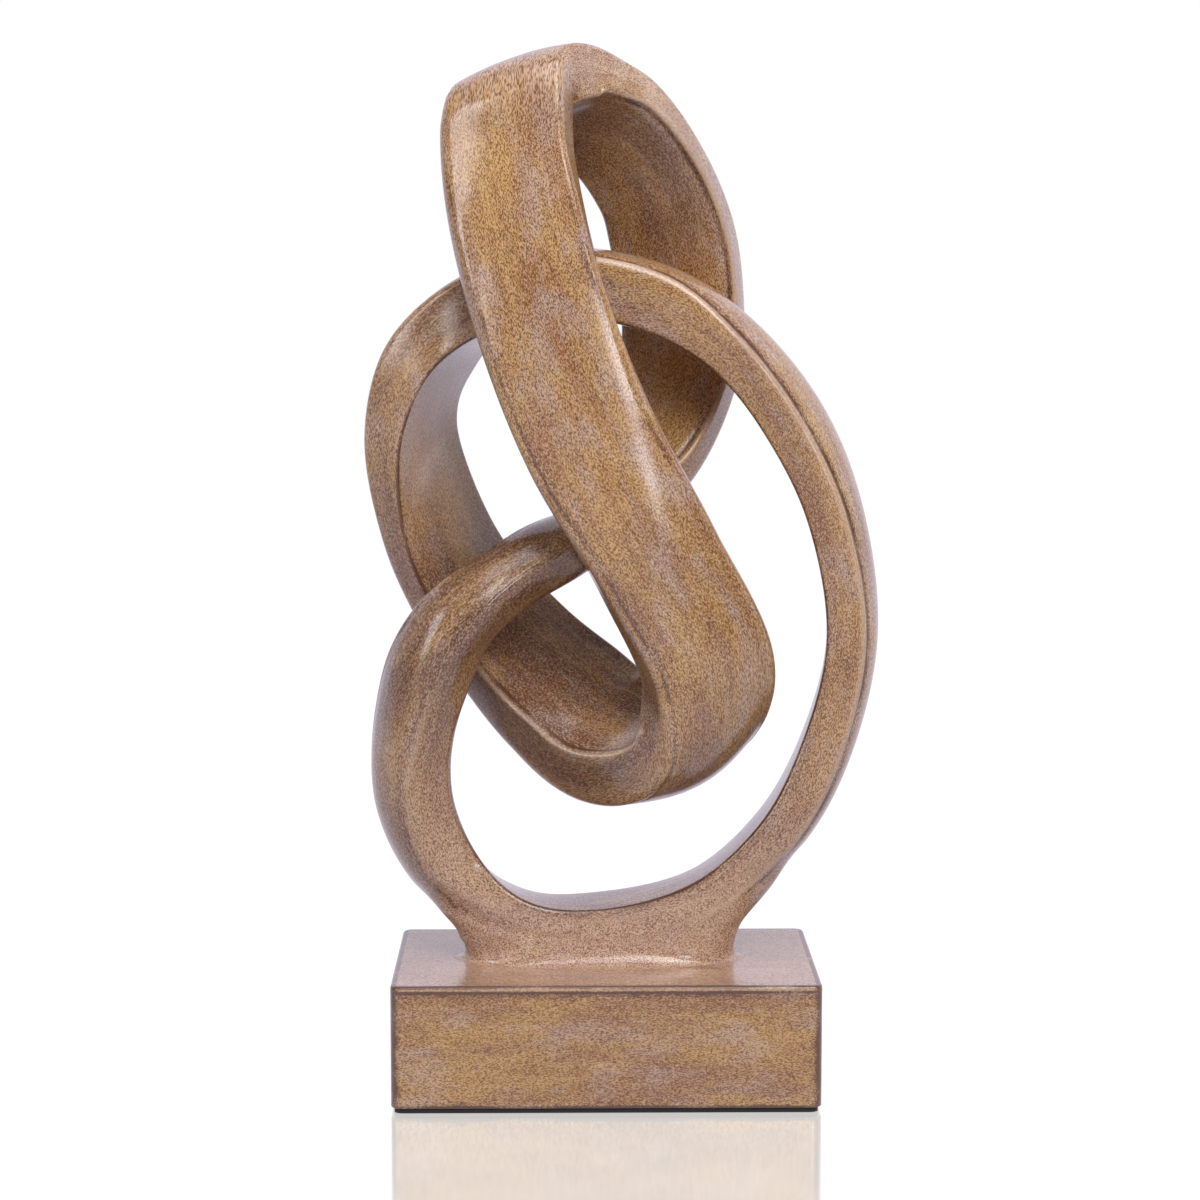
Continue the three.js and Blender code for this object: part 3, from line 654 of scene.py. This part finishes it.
class KNOT_OT_band(bpy.types.Operator):
    """Build the knotted band with its neck as one smooth piece"""

    bl_idname = "knot.band"
    bl_label = "Knotted band"

    def execute(self, context):
        settings = context.scene.knot
        course = BandCourse(settings.band)
        points, faces, grain, tones = band_mesh(course)
        neck_points, neck_faces = neck_mesh(course)
        band = new_piece("knot_band", points, faces, None)
        neck = new_piece("knot_neck", neck_points, neck_faces, None)
        boolean(band, neck, "UNION")
        mesh = band.data
        joined = mesh_points(mesh)
        index, gap = nearest_points(joined, np.concatenate([points, neck_points]))
        on_neck = index >= len(points)
        weight = smooth_join(mesh, joined[gap > SAME_POINT], settings.neck)
        set_attribute(mesh, "grain", "FLOAT_VECTOR", np.concatenate([grain, neck_points])[index])
        # Stain, painted highlight and painted shade, carried over from the band's rings
        tones = np.concatenate([tones, np.zeros((len(neck_points), 3))])[index]
        for name, values in zip(("stain", "edge_highlight", "wash_and_shade"), tones.T):
            set_attribute(mesh, name, "FLOAT", values)
        plain = np.maximum(on_neck, np.clip(weight * 2, 0, 1))
        set_attribute(mesh, "plain", "FLOAT", plain)
        finish_mesh(mesh, faux_wood(settings.finish))
        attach(band, "root")
        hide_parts("ring_section", "left_arm_section", "crown_section")
        return {"FINISHED"}


# The plinth and the pad


# Lines round the plinth: millimetres over its bottom or under its top, stain and painted highlight
LOW_LINES = ((0.4, 0.9, 0), (1.2, 0.35, 0), (2.4, 0.1, 0))
HIGH_LINES = ((5, 0.1, 0), (2.4, 0.45, 0), (1.7, 1, 0), (1.25, 0.2, 0.4))
# Lines on its top: millimetres in from the rounded edge, and stain
TOP_LINES = ((0.8, 0.8), (1.8, 0.2))
CLEAR_INSET = 12 * MM  # how far in the top face has no stain at all
FOOT_INSET = 0.4 * MM
FOOT_STAIN = 0.5
# Painted highlight along the plinth's rim, strongest where the rounded edge begins
RIM_HIGHLIGHT = 0.7
CORNER_LINE, CORNER_FADE = 1 * MM, 3.6 * MM  # stain in the upright edges: full and fading
LEAST_RADIUS = 0.4 * MM
LOOP_FINENESS = 6
NEAR_CORNER = np.array([0.6, 1.2, 2.4, 6, 14]) * MM  # points on a side, from its corner
PLINTH_PLAIN = 0.35  # how even the plinth's pattern is, from 0 along the grain to 1
PLINTH_WASH = 0.15


def rounded_loop(inset, z, plinth):
    """A rounded rectangle at a height, drawn in from the plinth's outer faces."""
    half_x = (PLINTH_HIGH.x - PLINTH_LOW.x) / 2 - inset
    half_y = (PLINTH_HIGH.y - PLINTH_LOW.y) / 2 - inset
    radius = max(plinth.corner_radius - inset, LEAST_RADIUS)
    loop = []
    for corner, (side_x, side_y) in enumerate(((1, 1), (-1, 1), (-1, -1), (1, -1))):
        x, y = side_x * (half_x - radius), side_y * (half_y - radius)
        for turn in np.linspace(0, math.pi / 2, LOOP_FINENESS) + corner * math.pi / 2:
            loop.append((x + radius * math.cos(turn), y + radius * math.sin(turn), z))
    return np.array(loop)


def side_points(loop):
    """The loop with points added along its four long sides, closest together at the corners."""
    points = []
    for i, a in enumerate(loop):
        side = loop[(i + 1) % len(loop)] - a
        points.append(a)
        length = np.linalg.norm(side)
        if length > 2 * NEAR_CORNER[-1]:
            places = np.concatenate([NEAR_CORNER, [length / 2], length - NEAR_CORNER[::-1]])
            points.extend(a + side * share for share in places / length)
    return np.array(points)


def plinth_skin(plinth):
    """The rings of the plinth's outer skin: inset, height, stain and painted highlight."""
    top, low = PLINTH_HIGH.z, PLINTH_LOW.z
    r = plinth.edge_radius
    rows = [(FOOT_INSET, low, FOOT_STAIN, 0)]
    rows += [(0, low + height * MM, *tones) for height, *tones in LOW_LINES]
    rows.append((0, (low + top) / 2, 0, 0))
    rows += [(0, top - depth * MM, *tones) for depth, *tones in HIGH_LINES]
    for share in (0, 0.25, 0.5, 0.75, 1):
        turn = share * math.pi / 2
        rim = (r * (1 - math.cos(turn)), top - r + r * math.sin(turn))
        rows.append((*rim, share ** 0.5, RIM_HIGHLIGHT * (1 - share) ** 2))
    rows += [(r + inward * MM, top, stain, 0) for inward, stain in TOP_LINES]
    rows.append((CLEAR_INSET, top, 0, 0))
    return rows


def corner_stain(loop):
    """Stain in the plinth's upright edges: 1 on a corner, 0 away from it."""
    inward = (PLINTH_HIGH.x - abs(loop[:, 0]), PLINTH_HIGH.y - abs(loop[:, 1]))
    share = (np.maximum(*inward) - CORNER_LINE) / CORNER_FADE
    return np.clip(1 - share, 0, 1) ** 2


def hollow_block():
    """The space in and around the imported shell, out to a block that ends within its walls."""
    wall, beyond = 2 * MM, 1 * MM
    half_x, half_y = PLINTH_HIGH.x - wall, PLINTH_HIGH.y - wall
    plan = ((-half_x, -half_y), (half_x, -half_y), (half_x, half_y), (-half_x, half_y))
    corners = [(x, y, z) for z in (PLINTH_LOW.z - beyond, PLINTH_HIGH.z + beyond) for x, y in plan]
    sides = [(k, (k + 1) % 4, (k + 1) % 4 + 4, k + 4) for k in range(4)]
    faces = [(3, 2, 1, 0), (4, 5, 6, 7), *sides]
    block = new_piece("plinth_hollow", corners, faces, None)
    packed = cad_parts["plinth_shell"]
    shell = bpy.data.objects.new("packed_shell", packed.data.copy())
    shell.matrix_world = packed.matrix_world
    bpy.context.scene.collection.objects.link(shell)
    boolean(block, shell, "DIFFERENCE")
    return block


class KNOT_OT_plinth(bpy.types.Operator):
    """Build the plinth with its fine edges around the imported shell's hollow"""

    bl_idname = "knot.plinth"
    bl_label = "Plinth"

    def execute(self, context):
        settings = context.scene.knot
        rows = plinth_skin(settings.plinth)
        loops = [side_points(rounded_loop(inset, z, settings.plinth)) for inset, z, _, _ in rows]
        size = len(loops[0])
        faces = [tuple(f) for f in tube_faces(len(loops), size)]
        faces.append(tuple(reversed(range(size))))
        faces.append(tuple(range((len(loops) - 1) * size, len(loops) * size)))
        skin = np.concatenate(loops)
        piece = new_piece("plinth_body", skin, faces, None)
        boolean(piece, hollow_block(), "DIFFERENCE")
        mesh = piece.data
        points = mesh_points(mesh)
        index, gap = nearest_points(points, skin)
        on_skin = gap < SAME_POINT
        stain = []
        for (inset, _, line, _), loop in zip(rows, loops):
            stain.append(np.maximum(line, corner_stain(loop) * (inset < CORNER_LINE)))
        # Painted highlight just under and along the rim
        edge_highlight = np.repeat([row[3] for row in rows], size)
        set_attribute(mesh, "grain", "FLOAT_VECTOR", points)
        set_attribute(mesh, "stain", "FLOAT", np.concatenate(stain)[index] * on_skin)
        set_attribute(mesh, "edge_highlight", "FLOAT", edge_highlight[index] * on_skin)
        set_attribute(mesh, "plain", "FLOAT", np.full(len(points), PLINTH_PLAIN))
        set_attribute(mesh, "wash_and_shade", "FLOAT", np.full(len(points), PLINTH_WASH))
        finish_mesh(mesh, faux_wood(settings.finish))
        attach(piece, "root")
        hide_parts("plinth_shell")
        return {"FINISHED"}


class KNOT_OT_pad(bpy.types.Operator):
    """Give the felt pad its finish"""

    bl_idname = "knot.pad"
    bl_label = "Felt pad"

    def execute(self, context):
        finish_node("felt_pad", felt(context.scene.knot.finish))
        return {"FINISHED"}


class KNOT_OT_inside(bpy.types.Operator):
    """Give the board, the ballast and the fastenings inside their finishes"""

    bl_idname = "knot.inside"
    bl_label = "Parts inside"

    def execute(self, context):
        finish_node("base_board", fibreboard())
        finish_node("ballast_block", cast_iron())
        steel = turned_steel()
        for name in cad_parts:
            if name.startswith(("joint_dowel", "stud", "washer", "nut", "board_screw")):
                finish_node(name, steel)
        return {"FINISHED"}


# Finishes


def finish_node(name, material):
    """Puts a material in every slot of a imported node."""
    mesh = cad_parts[name].data
    if not mesh.materials:
        mesh.materials.append(material)
    for i in range(len(mesh.materials)):
        mesh.materials[i] = material


class Nodes:
    """Short ways to add the nodes of one material."""

    def __init__(self, name):
        self.material = bpy.data.materials.new(name)
        self.material.use_nodes = True
        self.tree = self.material.node_tree
        self.shader = self.tree.nodes["Principled BSDF"]

    def put(self, socket, value):
        """Links a socket or a node's first output to the socket, or gives it a plain value."""
        if isinstance(value, bpy.types.Node):
            value = value.outputs[0]
        if isinstance(value, bpy.types.NodeSocket):
            self.tree.links.new(value, socket)
        elif hasattr(value, "__len__") and len(value) == 3 and socket.type == "RGBA":
            socket.default_value = (*value, 1)
        else:
            socket.default_value = value

    def node(self, kind, **inputs):
        node = self.tree.nodes.new(kind)
        for name, value in inputs.items():
            if name in node.inputs:
                self.put(node.inputs[name], value)
            else:
                setattr(node, name, value)
        return node

    def filled(self, kind, *values, **inputs):
        """A node with the values put in its first inputs."""
        node = self.node(kind, **inputs)
        for socket, value in zip(node.inputs, values):
            self.put(socket, value)
        return node

    def attribute(self, name, output="Fac"):
        node = self.node("ShaderNodeAttribute", attribute_name=name)
        return node.outputs[output]

    def place(self):
        return self.node("ShaderNodeTexCoord").outputs["Object"]

    def noise(self, vector, scale, detail, roughness):
        node = self.node(
            "ShaderNodeTexNoise", Vector=vector, Scale=scale, Detail=detail, Roughness=roughness
        )
        return node.outputs["Fac"]

    def stretched(self, vector, scale):
        """The vector with a scale of its own along each axis."""
        node = self.node("ShaderNodeMapping", Vector=vector, Scale=scale)
        return node.outputs["Vector"]

    def step(self, value, low, high):
        """0 at low, 1 at high and smooth between them; low may be the larger one."""
        node = self.node("ShaderNodeMapRange", Value=value)
        node.interpolation_type = "SMOOTHSTEP"
        node.inputs["From Min"].default_value = low
        node.inputs["From Max"].default_value = high
        return node.outputs["Result"]

    def math(self, operation, a, b):
        return self.filled("ShaderNodeMath", a, b, operation=operation).outputs[0]

    def share(self, value, factor):
        return self.math("MULTIPLY", value, factor)

    def mixed(self, kind, factor, a, b):
        node = self.tree.nodes.new("ShaderNodeMix")
        node.data_type = kind
        for name, value in (("Factor", factor), ("A", a), ("B", b)):
            self.put(node.inputs[name], value)
        return node.outputs["Result"]

    def blend(self, factor, a, b):
        return self.mixed("RGBA", factor, a, b)

    def mix_values(self, factor, a, b):
        return self.mixed("FLOAT", factor, a, b)

    def camera_ray(self):
        return self.node("ShaderNodeLightPath").outputs["Is Camera Ray"]

    def mirrored_ray(self):
        rays = self.node("ShaderNodeLightPath").outputs
        return self.math("MAXIMUM", rays["Is Glossy Ray"], rays["Is Transmission Ray"])

    def added(self, first, second):
        return self.filled("ShaderNodeAddShader", first, second)

    def show_when(self, factor, plain, special):
        """Shows the special shader where the factor is 1, on the material's surface."""
        both = self.filled("ShaderNodeMixShader", factor, plain, special)
        self.put(self.tree.nodes["Material Output"].inputs["Surface"], both)
        return both

    def bump(self, height, strength, distance):
        node = self.node("ShaderNodeBump", Height=height, Strength=strength, Distance=distance)
        self.put(self.shader.inputs["Normal"], node)

    def set(self, **sockets):
        for name, value in sockets.items():
            self.put(self.shader.inputs[name.replace("_", " ")], value)


# Noises of the lacquered finish: cells per metre along the band and twice across it, or everywhere
# alike on the neck and partly on the plinth
DRIFT, EVEN_DRIFT = (24, 90, 90), 48
CLOUD = (50, 110, 110)
STREAKS, EVEN_STREAKS = (55, 420, 420), 420
SPECKLE, EVEN_SPECKLE = (1400, 3400, 3400), 2700
# Heights in metres between which a pale painted sheen of reflected light is laid on, low down and
# at the very top
SHEEN_LOW = (0.135, 0.045)
SHEEN_TOP = (0.285, 0.32)
HAZE_ON_PLINTH, HAZE_ABOVE = 0.4, 0.52


def faux_wood(finish):
    """The lacquered finish: mottled ground, pale mauve patches, dark speckle, glaze, painted shade
    over faces, a painted sheen low down and at the top, and painted highlights on the ridges.
    """
    if "faux_wood" in bpy.data.materials:
        return bpy.data.materials["faux_wood"]
    n = Nodes("faux_wood")
    place = n.place()
    grain = n.attribute("grain", "Vector")
    plain, stain, edge_highlight, wash_and_shade = map(n.attribute, ("plain", "stain", "edge_highlight", "wash_and_shade"))

    drift = n.noise(n.stretched(grain, DRIFT), 1, 4, 0.65)
    broad = n.mix_values(n.share(plain, 0.6), drift, n.noise(place, EVEN_DRIFT, 3, 0.6))
    cloud = n.noise(n.stretched(grain, CLOUD), 1, 3, 0.55)
    streaks = n.noise(n.stretched(grain, STREAKS), 1, 4, 0.7)
    streak = n.mix_values(plain, streaks, n.noise(place, EVEN_STREAKS, 4, 0.7))
    speckle = n.noise(n.stretched(grain, SPECKLE), 1, 1, 0.5)
    fine = n.mix_values(plain, speckle, n.noise(place, EVEN_SPECKLE, 1, 0.5))
    height = n.node("ShaderNodeSeparateXYZ", Vector=place).outputs["Z"]
    above = n.step(height, PLINTH_HIGH.z - 1 * MM, PLINTH_HIGH.z)

    colour = n.blend(n.share(n.step(broad, 0.42, 0.64), 0.68), finish.ground, finish.blotch)
    # Painted sheen: the band turns pale low down, and the knot at its very top, where reflected
    # light makes them pale
    painted_sheen = n.math("MINIMUM", n.step(height, *SHEEN_LOW), above)
    painted_sheen = n.math("MAXIMUM", painted_sheen, n.step(height, *SHEEN_TOP))
    haze_and_sheen = n.math("MAXIMUM", n.step(cloud, 0.54, 0.32), painted_sheen)
    strength = n.mix_values(above, HAZE_ON_PLINTH, HAZE_ABOVE)
    colour = n.blend(n.math("MULTIPLY", haze_and_sheen, strength), colour, finish.haze_and_sheen)
    uneven = n.mix_values(n.step(broad, 0.35, 0.65), 0.5, 1.4)
    # Painted shade over the band's faces, and an even darker tone on the plinth
    colour = n.blend(n.math("MULTIPLY", wash_and_shade, uneven), colour, finish.wash_and_shade)
    colour = n.blend(n.share(n.step(streak, 0.48, 0.7), 0.5), colour, finish.blotch)
    colour = n.blend(n.share(n.step(streak, 0.46, 0.3), 0.4), colour, finish.haze_and_sheen)
    colour = n.blend(n.share(n.step(fine, 0.48, 0.62), 0.8), colour, finish.speckle)
    colour = n.blend(n.share(n.step(fine, 0.5, 0.36), 0.48), colour, finish.pale_and_highlight)

    # Painted highlight along the lips and the plinth's rim
    colour = n.blend(n.share(edge_highlight, 0.6), colour, finish.pale_and_highlight)
    patchy = n.math("MULTIPLY", stain, n.mix_values(n.step(cloud, 0.35, 0.6), 0.65, 1.2))
    ragged = n.math("ADD", patchy, n.share(n.math("SUBTRACT", fine, 0.5), 0.9))
    ragged = n.math("ADD", ragged, n.share(n.math("SUBTRACT", streak, 0.5), 1.0))
    colour = n.blend(n.share(n.step(ragged, 0.15, 0.8), 0.9), colour, finish.glaze)
    n.set(Base_Color=colour, Roughness=0.5, Specular_IOR_Level=0.25)
    n.set(Coat_Weight=1.0, Coat_Roughness=0.17, Coat_IOR=1.6)
    relief = n.math("ADD", n.share(fine, 0.4), n.share(streak, 0.6))
    n.bump(relief, 0.3, 0.0004)
    return n.material


def felt(finish):
    """Black felt with short fibres."""
    n = Nodes("felt")
    fibres = n.noise(n.stretched(n.place(), (1, 1, 3)), 1800, 4, 0.7)
    lighter = [min(c * 3, 1) for c in finish.felt]
    n.set(Base_Color=n.blend(n.step(fibres, 0.35, 0.7), finish.felt, lighter))
    n.set(Roughness=n.mix_values(fibres, 0.85, 1.0), Sheen_Weight=0.3, Sheen_Roughness=0.6)
    n.bump(fibres, 0.6, 0.0003)
    return n.material


def fibreboard():
    """Pressed brown board with fine fibres."""
    n = Nodes("fibreboard")
    place = n.place()
    fibres = n.noise(place, 900, 4, 0.7)
    patches = n.noise(place, 120, 2, 0.5)
    colour = n.blend(n.step(fibres, 0.35, 0.68), (0.2, 0.115, 0.055), (0.3, 0.19, 0.1))
    colour = n.blend(n.share(n.step(patches, 0.4, 0.7), 0.3), colour, (0.15, 0.085, 0.045))
    n.set(Base_Color=colour, Roughness=n.mix_values(fibres, 0.75, 0.95))
    n.bump(fibres, 0.4, 0.0003)
    return n.material


def cast_iron():
    """Rough cast iron."""
    n = Nodes("cast_iron")
    place = n.place()
    sand = n.noise(place, 700, 4, 0.65)
    rust = n.noise(place, 60, 3, 0.6)
    colour = n.blend(n.step(sand, 0.35, 0.7), (0.045, 0.045, 0.048), (0.085, 0.085, 0.09))
    colour = n.blend(n.share(n.step(rust, 0.55, 0.75), 0.35), colour, (0.12, 0.06, 0.03))
    n.set(Base_Color=colour, Metallic=0.8, Roughness=n.mix_values(sand, 0.55, 0.8))
    n.bump(sand, 0.7, 0.0005)
    return n.material


def turned_steel():
    """Bright steel with fine turning marks."""
    n = Nodes("turned_steel")
    marks = n.noise(n.stretched(n.place(), (300, 300, 4000)), 1, 3, 0.6)
    n.set(Base_Color=n.blend(marks, (0.42, 0.43, 0.44), (0.6, 0.61, 0.62)))
    n.set(Metallic=1.0, Roughness=n.mix_values(marks, 0.25, 0.42))
    n.bump(marks, 0.2, 0.0001)
    return n.material


# The stage


REACH = 4.0  # of the floor, to the sides and to the front, in metres
BACK, RISE = 2.5, 5.0  # where the backdrop stands, and its height
FLOOR = ((-REACH, -REACH, 0), (REACH, -REACH, 0), (REACH, BACK, 0), (-REACH, BACK, 0))
BACKDROP = ((-REACH, BACK, 0), (REACH, BACK, 0), (REACH, BACK, RISE), (-REACH, BACK, RISE))
MIDDLE = (0, 0, 0.16)  # of the sculpture, where the lamps point
MIRRORED = (0.9, 0.86, 1)  # what the lacquer mirrors of the floor and the backdrop
COOL = (0.97, 0.94, 1)  # lamp light with a little blue
# Lamps: name, place, size, the setting with its power, share of that power, colour
LAMPS = (
    ("left_softbox", (-1.2, 0.45, 0.5), (0.9, 1.4), "side_light", 0.4, COOL),
    ("right_softbox", (1.2, 0.3, 0.5), (0.9, 1.4), "side_light", 1, COOL),
    ("top_softbox", (0.1, -0.5, 1.5), (1.0, 1.0), "top_light", 1, (0.92, 0.9, 1)),
    ("front_softbox", (0.5, -1.3, 1.15), (0.9, 0.8), "front_light", 1, (1, 0.98, 0.97)),
    ("left_front_softbox", (-1.15, -1.0, 0.65), (0.4, 0.9), "left_light", 1, (1, 0.97, 0.98)),
    ("right_strip", (0.5, -1.25, 0.33), (0.1, 0.18), "strip_light", 1, COOL),
    ("left_strip", (-0.6, -1.2, 0.28), (0.1, 0.2), "strip_light", 0.5, COOL),
)


def backdrop_material():
    """White to the camera, and a little lilac where the lacquer mirrors it."""
    n = Nodes("backdrop")
    n.set(Base_Color=(0.85, 0.85, 0.86), Roughness=0.9)
    seen = n.mirrored_ray()
    glow = n.node("ShaderNodeEmission", Color=n.blend(seen, (1, 1, 1), MIRRORED), Strength=1.0)
    n.show_when(n.math("MAXIMUM", seen, n.camera_ray()), n.shader, glow)
    return n.material


def floor_material():
    """Nearly white to the camera, with a faint mirror image and shadow of the sculpture."""
    n = Nodes("floor")
    n.set(Base_Color=(0.15, 0.14, 0.15), Roughness=0.9)
    glow = n.node("ShaderNodeEmission", Color=(1, 1, 0.95), Strength=0.48)
    polish = n.node("ShaderNodeBsdfAnisotropic", Color=(0.62, 0.6, 0.6), Roughness=0.1)
    matt = n.node("ShaderNodeBsdfDiffuse", Color=(0.12, 0.12, 0.12))
    seen = n.added(n.added(glow, polish), matt)
    mixed = n.show_when(n.camera_ray(), n.shader, seen)
    sheen = n.node("ShaderNodeEmission", Color=MIRRORED, Strength=1.0)
    n.show_when(n.mirrored_ray(), mixed, sheen)
    return n.material


def flat_sheet(name, corners, material):
    sheet = new_piece(name, corners, [(0, 1, 2, 3)], material)


def area_lamp(name, place, size, power, colour):
    lamp = bpy.data.lights.new(name, "AREA")
    lamp.shape = "RECTANGLE"
    lamp.size, lamp.size_y = size
    lamp.energy = power
    lamp.color = colour
    holder = bpy.data.objects.new(name, lamp)
    bpy.context.scene.collection.objects.link(holder)
    holder.location = place
    holder.rotation_euler = (Vector(MIDDLE) - Vector(place)).to_track_quat("-Z", "Y").to_euler()


def studio_world(fill):
    """White to the camera, and an even light of the given strength on everything."""
    world = bpy.data.worlds.new("studio")
    world.use_nodes = True
    tree = world.node_tree
    background = tree.nodes["Background"]
    path = tree.nodes.new("ShaderNodeLightPath")
    strength = tree.nodes.new("ShaderNodeMapRange")
    tree.links.new(path.outputs["Is Camera Ray"], strength.inputs["Value"])
    strength.inputs["To Min"].default_value = fill
    strength.inputs["To Max"].default_value = 1.0
    tree.links.new(strength.outputs["Result"], background.inputs["Strength"])
    background.inputs["Color"].default_value = (1, 1, 1, 1)
    return world


def stand_camera(stage):
    camera = bpy.data.cameras.new("camera")
    camera.lens = stage.lens
    camera.sensor_width = 36
    camera.clip_start = 0.05
    holder = bpy.data.objects.new("camera", camera)
    bpy.context.scene.collection.objects.link(holder)
    holder.location = stage.camera_place
    holder.rotation_euler = (math.pi / 2 - stage.camera_pitch, 0, -stage.camera_yaw)
    return holder


class KNOT_OT_stage(bpy.types.Operator):
    """Set up the floor, the backdrop, the light and the camera"""

    bl_idname = "knot.stage"
    bl_label = "Stage"

    def execute(self, context):
        scene = context.scene
        stage = scene.knot.stage
        flat_sheet("floor", FLOOR, floor_material())
        flat_sheet("backdrop", BACKDROP, backdrop_material())
        for name, place, size, light, share, colour in LAMPS:
            area_lamp(name, place, size, share * getattr(stage, light), colour)
        scene.world = studio_world(stage.fill)
        scene.camera = stand_camera(stage)
        scene.view_settings.view_transform = "Standard"
        return {"FINISHED"}


# Panel and registration


OPERATORS = (KNOT_OT_stage, KNOT_OT_band, KNOT_OT_plinth, KNOT_OT_pad, KNOT_OT_inside)


class KNOT_PT_panel(bpy.types.Panel):
    """The sculpture's pieces, in the sidebar"""

    bl_idname = "KNOT_PT_panel"
    bl_label = "Knot sculpture"
    bl_space_type = "VIEW_3D"
    bl_region_type = "UI"
    bl_category = "Knot"

    def draw(self, context):
        for operator in OPERATORS:
            self.layout.operator(operator.bl_idname)


SETTINGS = (BandSettings, NeckSettings, PlinthSettings, FinishSettings, StageSettings, KnotSettings)
CLASSES = (*SETTINGS, *OPERATORS, KNOT_PT_panel)


def register():
    for cls in CLASSES:
        bpy.utils.register_class(cls)
    bpy.types.Scene.knot = bpy.props.PointerProperty(type=KnotSettings)


def unregister():
    del bpy.types.Scene.knot
    for cls in reversed(CLASSES):
        bpy.utils.unregister_class(cls)


def main():
    register()
    bpy.ops.knot.stage()
    bpy.ops.knot.band()
    bpy.ops.knot.plinth()
    bpy.ops.knot.pad()
    bpy.ops.knot.inside()


if __name__ == "__main__":
    main()
